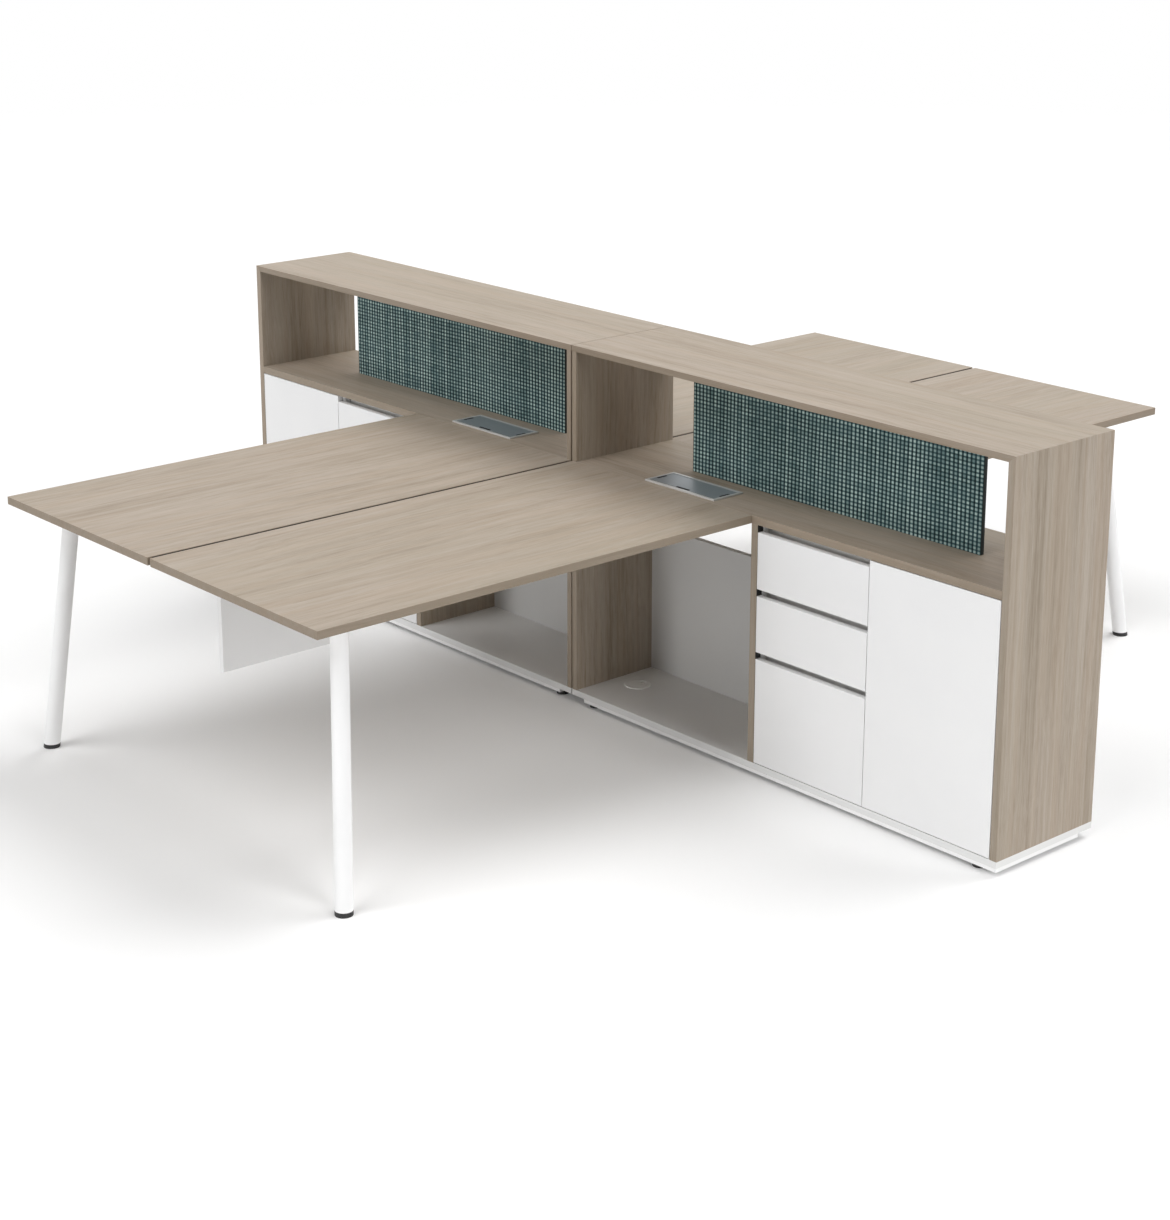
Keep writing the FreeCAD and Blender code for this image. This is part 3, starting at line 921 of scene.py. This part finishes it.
@dataclass
class Screens:
    """Fabric covers of the two screens and the dark trims on their upright ends."""

    corner: float = 0.0020  # radius of the upright edges
    corner_steps: int = 4
    border: float = 0.004  # least width of the flat border along the edges
    trim: float = 0.0014  # thickness of an end trim
    trim_edge: float = 0.0005  # radius of its upright edges
    lattice: WeaveLattice = WeaveLattice()
    crown: float = 0.0009  # how far a cell stands out
    shares: Triple = (1.0, 0.5, 0.3)  # of the crown on a crossing, a column and a row of yarns
    soft: float = 40.0  # angle in degrees up to which a cover is shaded smooth
    broad: float = 0.1  # area that a broad face exceeds
    slack: float = 0.0001  # play in comparing places

    def build(self) -> None:
        """Build the covers and the trims."""
        weave = BasketWeave("teal_basket_weave", self.lattice).make()
        dark = MouldedPlastic("dark_trim", (26, 40, 40), 0.62).make()
        for side in Side:
            node = f"screen_{side.word}"
            low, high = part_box(node)
            cover = self.cover(f"screen_cover_{side.word}", low, high)
            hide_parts(node)
            Bench.finish(cover, FIXED, "teal_fabric", weave)
            strips = [Bench.block("trim", (x, low.y, low.z), (x + self.trim, high.y, high.z), self.trim_edge,
                                  edges=upright) for x in (low.x, high.x - self.trim)]
            trims = Bench.gather(f"screen_trims_{side.word}", strips)
            Bench.smooth(trims)
            Bench.finish(trims, FIXED, "black_plastic", dark)

    def cover(self, name: str, low: Vector, high: Vector) -> Item:
        """Model one cover between its two trims.

        Args:
            name: Name of the cover.
            low: Lowest corner of the screen.
            high: Highest corner of the screen.

        Returns:
            The cover.
        """
        inset = Vector((self.trim, 0.0, 0.0))
        cover = Bench.block(name, low + inset, high - inset, self.corner, self.corner_steps, upright)
        for sign in (-1, 1):
            self.relief(cover, sign, low, high)
        Bench.smooth(cover, self.soft)
        return cover

    def relief(self, cover: Item, sign: int, low: Vector, high: Vector) -> None:
        """Raise the woven cells on one broad face of a cover.

        The face is divided at each half cell. One call makes at most a hundred cuts, so the long way
        takes two.

        Args:
            cover: The cover.
            sign: Which way the face looks along Y.
            low: Lowest corner of the screen.
            high: Highest corner of the screen.
        """
        level = high.y if sign > 0 else low.y
        steps = [pitch / 2 for pitch in self.lattice.pitch]
        margin = self.border + self.corner + self.trim
        first = [2 * math.ceil((edge + margin) / (2 * step)) for edge, step in zip((low.x, low.z), steps)]
        last = [2 * math.floor((edge - margin) / (2 * step)) for edge, step in zip((high.x, high.z), steps)]
        near = [count * step for count, step in zip(first, steps)]
        far = [count * step for count, step in zip(last, steps)]

        def inside(point: Vector) -> bool:
            """Tell whether a point lies on the woven field or its outline."""
            return (abs(point.y - level) < self.slack
                    and near[0] - self.slack < point.x < far[0] + self.slack
                    and near[1] - self.slack < point.z < far[1] + self.slack)

        def divide(same: Axis, cuts: int) -> None:
            """Cut those edges of the field along which one coordinate stays the same.

            Args:
                same: Axis of that coordinate.
                cuts: Number of cuts in each edge.
            """
            i = same.value
            Bench.edit(cover, edges=lambda a, b: inside(a) and inside(b) and abs(a[i] - b[i]) < self.slack)
            bpy.ops.mesh.subdivide(number_cuts=cuts)

        Bench.edit(cover, faces=looking(Axis.Y, sign, self.broad))
        bpy.ops.mesh.inset(thickness=self.border, depth=0.0)
        bpy.ops.object.mode_set(mode="OBJECT")
        woven = max(filter(looking(Axis.Y, sign), cover.data.polygons), key=lambda face: face.area)
        centre = (low + high) / 2
        for corner in (cover.data.vertices[i] for i in woven.vertices):
            corner.co.x = near[0] if corner.co.x < centre.x else far[0]
            corner.co.z = near[1] if corner.co.z < centre.z else far[1]
        divide(Axis.Z, (last[0] - first[0]) // 2 - 1)
        divide(Axis.Z, 1)
        divide(Axis.X, last[1] - first[1] - 1)
        bpy.ops.object.mode_set(mode="OBJECT")
        crossing, column, row = self.shares
        rise = {(1, 1): crossing, (1, 0): column, (0, 1): row, (0, 0): 0.0}
        for vertex in cover.data.vertices:
            if inside(vertex.co):
                across, up = [round(part / step) for part, step in zip((vertex.co.x, vertex.co.z), steps)]
                if first[0] < across < last[0] and first[1] < up < last[1]:
                    x, z = self.lattice.spot(across / 2, up / 2)
                    lift = self.crown * rise[(across % 2, up % 2)]
                    vertex.co = Vector((x, level + sign * lift, z))


@dataclass
class PullCaps:
    """End caps of the six pull channels, and black plates in front of them that stand in for the shade on
    the divider's side in each pull gap (painted shade).
    """

    start: float = 0.7532  # where the channels begin, from the middle of the spine
    width: float = 0.006  # length of a cap along its channel
    cap: Span = (-0.1694, -0.1535)  # front and rear face, clear of the rounded channel corners
    shade_span: Span = (-0.1888, -0.1698)  # front and rear face of a painted-shade plate
    skin: float = 0.0013  # thickness of a painted-shade plate
    levels: Tuple[Span, ...] = ((0.6777, 0.7163), (0.4997, 0.5463), (0.3217, 0.3683))  # inside the channels
    gaps: Tuple[Span, ...] = ((0.6985, 0.7176), (0.5205, 0.5395), (0.3425, 0.3615))  # edges of the pull gaps
    edge: float = 0.15  # rounding, as a share of the thickness
    border: float = 0.002  # round the dished face
    dish: float = 0.2  # depth of the dish, as a share of the thickness
    broad: float = 0.0001  # area that the dished face exceeds

    def build(self) -> None:
        """Build the caps and the painted-shade plates of both cabinets."""
        light = MouldedPlastic("cap_light", (236, 235, 233), 0.5).make()
        black = MouldedPlastic("pull_gap_shade_black", (22, 21, 20), 0.6).make()
        # The second entry makes the black plates: painted shade on the divider's side in each pull gap
        for word, reach, depth, spans, slot, finish in (
                ("pull_caps", self.width, self.cap, self.levels, "grey_plastic", light),
                ("pull_gap_shades", self.skin, self.shade_span, self.gaps, "black_plastic", black)):
            plates = []
            for low, high in spans:
                plate = Bench.block("plate", (self.start, depth[0], low),
                                    (self.start + reach, depth[1], high), reach * self.edge)
                move = (-reach * self.dish, 0.0, 0.0)
                Bench.step_face(plate, looking(Axis.X, 1, self.broad), self.border, move)
                plates.append(plate)
            right = Bench.gather(word + "_right", plates)
            Bench.smooth(right)
            left = Bench.copy(right, word + "_left", Matrix.Scale(-1.0, 4, (1.0, 0.0, 0.0)))
            for piece in (right, left):
                Bench.finish(piece, FIXED, slot, finish)


@dataclass
class DeskSeams:
    """Dark strips in the gaps between the neighbouring desks, which stand in for the shadow inside the gaps
    (painted shadow).
    """

    play: float = 0.0004  # between a strip and the desk beside it
    drops: Span = (0.0070, 0.0016)  # of the lower and the upper face, from the top of the desks
    setback: float = 0.014  # from both ends of the desks
    edge: float = 0.0008  # rounding
    border: float = 0.0015  # round the groove
    groove: float = 0.0008  # depth of the groove
    broad: float = 0.002  # area that the grooved face exceeds

    def build(self) -> None:
        """Build one strip for each row of desks."""
        # Dark colour of the strips: painted shadow for the desk gaps
        seam_shade = MouldedPlastic("painted_seam_shade", (40, 34, 30), 0.7).make()
        for row in Row:
            low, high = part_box(f"desk_top_{row.word}_right")
            half = low.x - self.play
            bottom, top = [high.z - drop for drop in self.drops]
            strip = Bench.block(f"desk_seam_{row.word}", (-half, low.y + self.setback, bottom),
                                (half, high.y - self.setback, top), self.edge)
            Bench.step_face(strip, looking(Axis.Z, 1, self.broad), self.border, (0.0, 0.0, -self.groove))
            Bench.smooth(strip)
            Bench.finish(strip, FIXED, "black_plastic", seam_shade)


@dataclass
class Sockets:
    """Socket inserts and their contacts on the strips inside the power boxes."""

    seat: float = 0.707  # level of the strips
    pitch: float = 0.060  # distance between sockets
    radius: float = 0.0185  # of an insert
    height: float = 0.0034  # of its rim
    sides: int = 40
    edge: float = 0.0006  # rounding of the rim
    rim: float = 0.0026  # width of the rim and depth of the well in it
    well: float = 0.0002  # area that the face of the well exceeds
    pin: Triple = (0.0024, 0.0004, 0.0009)  # radius, height and level of a pin hole's dark disc (painted shade)
    pin_sides: int = 16
    pin_ring: Span = (0.0006, 0.0002)  # border and depth of a pin hole
    pin_offset: float = 0.0095  # from the middle of the socket
    clip: Triple = (0.0022, 0.0012, 0.0004)  # half width, half thickness and rounding of an earth clip
    clip_levels: Span = (0.0006, 0.0028)  # lower and upper end
    clip_offset: float = 0.0155  # from the middle of the socket

    def insert(self) -> Item:
        """Model one insert around the origin, with a rim and a well.

        Returns:
            The insert.
        """
        middle = (0.0, 0.0, self.height / 2)
        insert = Bench.disc("socket_pattern", middle, self.radius, self.height, self.sides)
        crest = self.height * CREST
        Bench.round_edges(insert, self.edge, edges=lambda a, b: a.z > crest and b.z > crest)
        Bench.step_face(insert, looking(Axis.Z, 1, self.well), self.rim, (0.0, 0.0, -self.rim))
        Bench.smooth(insert)
        return insert

    def contacts(self) -> Item:
        """Model the pin holes, as dark discs that stand in for the shade inside them (painted shade), and
        the earth clips of one socket around the origin.

        Returns:
            The contacts.
        """
        parts = []
        radius, height, level = self.pin
        border, depth = self.pin_ring
        for x in (-self.pin_offset, self.pin_offset):
            hole = Bench.disc("pin_hole", (x, 0.0, level), radius, height, self.pin_sides)
            Bench.step_face(hole, looking(Axis.Z, 1), border, (0.0, 0.0, -depth))
            parts.append(hole)
        half, thick, edge = self.clip
        bottom, top = self.clip_levels
        parts += [Bench.block("earth_clip", (-half, y - thick, bottom), (half, y + thick, top), edge)
                  for y in (-self.clip_offset, self.clip_offset)]
        return Bench.gather("socket_contacts", parts)

    def build(self) -> None:
        """Put three sockets on each strip."""
        white = MouldedPlastic("socket_white", (226, 226, 224), 0.36).make()
        # Dark finish: painted shade for the pin holes, and also the colour of the earth clips
        dark = MouldedPlastic("socket_contacts_dark", (40, 40, 42), 0.4).make()
        patterns = ((self.insert(), "sockets", white), (self.contacts(), "contacts", dark))
        for row, side in product(Row, Side):
            low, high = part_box(f"power_lid_{row.word}_{side.word}")
            middle = (low + high) / 2
            places = [Vector((middle.x + step * self.pitch, middle.y, self.seat)) for step in (-1, 0, 1)]
            for pattern, word, finish in patterns:
                piece = Bench.spread(f"{word}_{row.word}_{side.word}", pattern, places)
                Bench.finish(piece, FIXED, "black_plastic", finish)
        for pattern, _, _ in patterns:
            bpy.data.objects.remove(pattern)


@dataclass
class PowerLids:
    """Finishes of the power boxes, and the black seal, grip and cable brushes on each lid."""

    level: float = 0.744  # upper face of a closed lid
    seal: float = 0.001  # from the ends of the lid
    seal_span: Span = (0.0028, 0.0003)  # from the free edge of the lid
    seal_rise: float = 0.0003
    grip: float = 0.025  # half length of the finger grip
    grip_span: Span = (0.0110, 0.0029)  # from the free edge
    brush: Span = (0.0006, 0.0080)  # where the cable brushes lie, from the ends of the lid
    brush_span: Span = (0.062, 0.027)  # from the free edge
    rise: float = 0.0007  # of the grip and the brushes
    sink: float = 0.0002  # how far all of them reach into the lid
    edge: float = 0.0002  # rounding

    def dress(self) -> None:
        """Give frames and lids their finishes."""
        dress(DrawnMetal("anodised_frame", (216, 216, 214), Axis.X, 0.36, 0.4).make(), "power_frames")
        lid = DrawnMetal("anodised_lid", (156, 163, 168), Axis.X, 0.36, 0.45)
        dress(lid.make(), *corners("power_lid"))

    def build(self) -> None:
        """Build the black bars of each lid as one piece."""
        bristle = MouldedPlastic("brush_black", (20, 20, 21), 0.75).make()
        inner, outer = self.brush
        for row, side in product(Row, Side):
            lid = f"power_lid_{row.word}_{side.word}"
            low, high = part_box(lid)
            middle = (low.x + high.x) / 2
            free = max(abs(low.y), abs(high.y))
            bars = []
            for start, end, span, rise in (
                    (low.x + self.seal, high.x - self.seal, self.seal_span, self.seal_rise),
                    (middle - self.grip, middle + self.grip, self.grip_span, self.rise),
                    (low.x + inner, low.x + outer, self.brush_span, self.rise),
                    (high.x - outer, high.x - inner, self.brush_span, self.rise)):
                near, far = sorted(row.value * (free - inset) for inset in span)
                bars.append(Bench.block("bar", (start, near, self.level - self.sink),
                                        (end, far, self.level + rise), self.edge))
            brush = Bench.gather(f"lid_brush_{row.word}_{side.word}", bars)
            Bench.smooth(brush)
            Bench.finish(brush, lid, "black_plastic", bristle)


@dataclass
class Screws:
    """Pan-head screws under the desks."""

    head: float = 0.0048  # radius of a head
    sides: int = 20
    rise: float = 0.0026  # height of a head
    dome: float = 0.55  # rounding of the head, as a share of its height
    dome_steps: int = 3
    slot: float = 0.0011  # width of the cross
    reach: float = 0.55  # half length of the cross, as a share of the radius
    cross: Span = (0.00015, 0.0004)  # how far the cross stands out of the head and reaches into it
    cross_edge: float = 0.0001  # rounding
    plate: Span = (0.130, 0.006)  # side and thickness of a leg plate
    plate_spread: Span = (-0.050, 0.050)  # screws from the middle of the plate
    rail_columns: Span = (0.200, 0.620)  # where the long rails lie along X
    rail_rows: Tuple[float, ...] = (0.105, 0.360, 0.760, 1.160, 1.350)  # screws along a rail
    bracket_shares: Span = (0.2, 0.8)  # where the brackets lie along a modesty panel
    bracket: Span = (0.032, 0.003)  # screws along X, and thickness of a bracket
    bracket_spread: Span = (-0.014, 0.014)  # screws from the middle of the bracket

    def screw(self) -> Item:
        """Model one screw head that points down, with its seat at the origin.

        Returns:
            The screw head.
        """
        head = Bench.disc("screw_pattern", (0.0, 0.0, -self.rise / 2), self.head, self.rise, self.sides)
        Bench.round_edges(head, self.rise * self.dome, self.dome_steps,
                          lambda a, b: max(a.z, b.z) < -self.rise * CREST)
        proud, sunk = self.cross
        narrow, wide = self.slot / 2, self.head * self.reach
        bottom, top = -self.rise - proud, -self.rise + sunk
        bars = [Bench.block("cross", (-x, -y, bottom), (x, y, top), self.cross_edge, 1)
                for x, y in ((narrow, wide), (wide, narrow))]
        whole = Bench.gather("screw_pattern", [head] + bars)
        Bench.smooth(whole)
        return whole

    def places(self) -> Dict[str, List[Vector]]:
        """Find where the screws of each group sit, seat upwards.

        Returns:
            The places of each group.
        """
        plates, rails, angles = [], [], []
        side_length, thickness = self.plate
        column, skin = self.bracket
        rail_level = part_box("desk_rails")[0].z
        bracket_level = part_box("modesty_brackets")[1].z - skin
        for row, side in product(Row, Side):
            low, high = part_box(f"leg_{row.word}_{side.word}")
            x, y = [min(abs(low[i]), abs(high[i])) + side_length / 2 for i in (Axis.X.value, Axis.Y.value)]
            for dx, dy in product(self.plate_spread, repeat=2):
                plates.append(Vector((side.value * x + dx, row.value * y + dy, high.z - thickness)))
            for x, y in product(self.rail_columns, self.rail_rows):
                rails.append(Vector((side.value * x, row.value * y, rail_level)))
            near, far = sorted(abs(corner.y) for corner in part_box(f"modesty_panel_{row.word}"))
            for share, dy in product(self.bracket_shares, self.bracket_spread):
                y = row.value * (far - (far - near) * share) + dy
                angles.append(Vector((side.value * column, y, bracket_level)))
        return {"leg_plate_screws": plates, "rail_screws": rails, "bracket_screws": angles}

    def build(self, steel: Material) -> None:
        """Build the groups of screws.

        Args:
            steel: Finish of the screws.
        """
        pattern = self.screw()
        for name, places in self.places().items():
            Bench.finish(Bench.spread(name, pattern, places), FIXED, "steel", steel)
        bpy.data.objects.remove(pattern)


@dataclass
class DoorCatches:
    """Magnet catches beside the doors and the strike plates on the doors."""

    width: Span = (1.161, 1.176)  # inner and outer side, from the middle of the spine
    catch: Tuple[Span, Span] = ((-0.1695, -0.128), (0.655, 0.700))  # faces along Y and along Z
    catch_edge: Tuple[float, int] = (0.0015, 3)  # rounding and its steps
    catch_dish: float = 0.001
    strike: Tuple[Span, Span] = ((-0.1722, -0.1705), (0.650, 0.705))  # faces along Y and along Z
    strike_edge: Tuple[float, int] = (0.0006, 2)  # rounding and its steps
    strike_step: float = 0.0003
    border: float = 0.003  # round the stepped faces
    broad: float = 0.0002  # area that a stepped face exceeds

    def build(self, steel: Material) -> None:
        """Build a catch and a strike plate for each door.

        Args:
            steel: Finish of the strike plates.
        """
        white = MouldedPlastic("catch_white", (222, 222, 220), 0.4).make()
        for side in Side:
            width = sorted(side.value * x for x in self.width)
            for word, spans, edge, sign, step, body, slot, finish in (
                    ("door_catch", self.catch, self.catch_edge, -1, self.catch_dish,
                     FIXED, "grey_plastic", white),
                    ("door_strike", self.strike, self.strike_edge, 1, self.strike_step,
                     f"door_{side.word}", "steel", steel)):
                piece = Bench.block(f"{word}_{side.word}", *zip(width, *spans), *edge)
                Bench.step_face(piece, looking(Axis.Y, sign, self.broad), self.border, (0.0, step, 0.0))
                Bench.smooth(piece)
                Bench.finish(piece, body, slot, finish)


@dataclass
class Studio:
    """Pale floor, soft light and the camera."""

    frame_size: Tuple[int, int] = (1170, 1220)  # width and height of the picture
    sensor: float = 36.0  # width in millimetres
    eye: Triple = (5.024, -4.531, 2.566)  # place of the camera
    yaw: float = 48.836  # turn of the view from +Y towards -X, in degrees
    pitch: float = -15.37  # tilt of the view, in degrees
    focal: float = 2396.0  # focal length in picture points
    rise: float = 150.0  # of the axis above the middle of the picture, in picture points
    sight: float = 200.0  # how far the camera sees
    reach: float = 16.0  # radius of the floor
    floor_sides: int = 96
    floor_colour: Colour = (251, 251, 251)
    floor_gloss: Span = (0.9, 0.1)  # roughness and plain reflection
    fade: Span = (0.35, 0.95)  # where the floor fades out, as shares of its radius
    glow: float = 0.04  # what the floor adds for the rays that show the backdrop
    white: Tuple[float, ...] = (1.0, 1.0, 1.0, 1.0)  # backdrop
    dome: float = 0.10  # strength of the even light from all round
    stand: float = 4.0  # how far out the lamps are drawn, which doesn't change their light
    # Lamps: direction that the light comes from, light on a face square to it, where 1 shows a colour as
    # written, and apparent width in degrees
    lamps: Tuple[Tuple[str, Triple, float, float], ...] = (
        ("front_low", (-0.25, -1.0, 0.12), 0.18, 20.0), ("front_high", (-0.1, -0.7, 1.0), 0.39, 40.0),
        ("rear_high", (0.1, 0.6, 1.0), 0.53, 40.0), ("right_end", (1.0, 0.0, 0.3), 0.16, 20.0),
        ("right_high", (1.0, 0.0, 0.8), 0.22, 30.0), ("left_end", (-1.0, 0.0, 0.3), 0.10, 20.0))

    def camera(self) -> None:
        """Make the camera."""
        data = bpy.data.cameras.new("studio_camera")
        data.sensor_width = self.sensor
        data.lens = self.focal / max(self.frame_size) * self.sensor
        data.shift_y = -self.rise / max(self.frame_size)
        data.clip_end = self.sight
        lens = bpy.data.objects.new("studio_camera", data)
        bpy.context.scene.collection.objects.link(lens)
        lens.location = self.eye
        lens.rotation_euler = (math.radians(90.0 + self.pitch), 0.0, math.radians(self.yaw))
        bpy.context.scene.camera = lens

    def floor(self) -> None:
        """Make the pale floor, which fades into the white behind it."""
        Bench.clear()
        bpy.ops.mesh.primitive_circle_add(vertices=self.floor_sides, radius=self.reach, fill_type="NGON",
                                          location=(0.0, 0.0, 0.0))
        ground = Bench.settle("studio_floor")
        shader = Shader("studio_floor")
        x, y, _ = shader.split(shader.spot())
        far = ((x * x + y * y) ** 0.5).between(*[share * self.reach for share in self.fade])
        rough, specular = self.floor_gloss
        shader.set(Base_Color=tint(self.floor_colour), Roughness=rough, Specular_IOR_Level=specular)
        strength = shader.seen() * self.glow
        glow = shader.node("ShaderNodeEmission", None, {"Color": self.white, "Strength": strength})
        plain = Value(shader, shader.surface.outputs["BSDF"])
        lit = shader.node("ShaderNodeAddShader", None, {0: plain, 1: glow})
        clear = shader.node("ShaderNodeBsdfTransparent")
        both = shader.node("ShaderNodeMixShader", None, {0: far, 1: lit, 2: clear})
        shader.feed(shader.output.inputs["Surface"], both)
        ground.data.materials.append(shader.block)

    def world(self) -> None:
        """Light the room evenly and show white behind it."""
        room = Shader("studio_world", world=True)
        room.set(Color=self.white, Strength=room.seen() * (1.0 - self.dome) + self.dome)
        bpy.context.scene.world = room.block

    def light(self) -> None:
        """Hang the soft distant lamps."""
        for name, source, level, spread in self.lamps:
            data = bpy.data.lights.new(name, "SUN")
            data.energy = level * math.pi
            data.angle = math.radians(spread)
            lamp = bpy.data.objects.new(name, data)
            bpy.context.scene.collection.objects.link(lamp)
            lamp.location = Vector(source) * self.stand
            lamp.rotation_euler = (-Vector(source)).to_track_quat("-Z", "Y").to_euler()

    def build(self) -> None:
        """Set up the whole studio."""
        self.camera()
        self.floor()
        self.world()
        self.light()
        bpy.context.scene.view_settings.view_transform = "Standard"


def main() -> None:
    """Build everything in order."""
    logging.basicConfig(level=logging.INFO, format="%(name)s: %(message)s")
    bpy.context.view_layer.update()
    Carcass().dress()
    Metalwork().dress()
    Screens().build()
    PullCaps().build()
    DeskSeams().build()
    lids = PowerLids()
    lids.dress()
    Sockets().build()
    lids.build()
    steel = DrawnMetal("zinc_screws", (186, 188, 190), Axis.X, 0.3).make()
    Screws().build(steel)
    DoorCatches().build(steel)
    Studio().build()


if __name__ == "__main__":
    main()
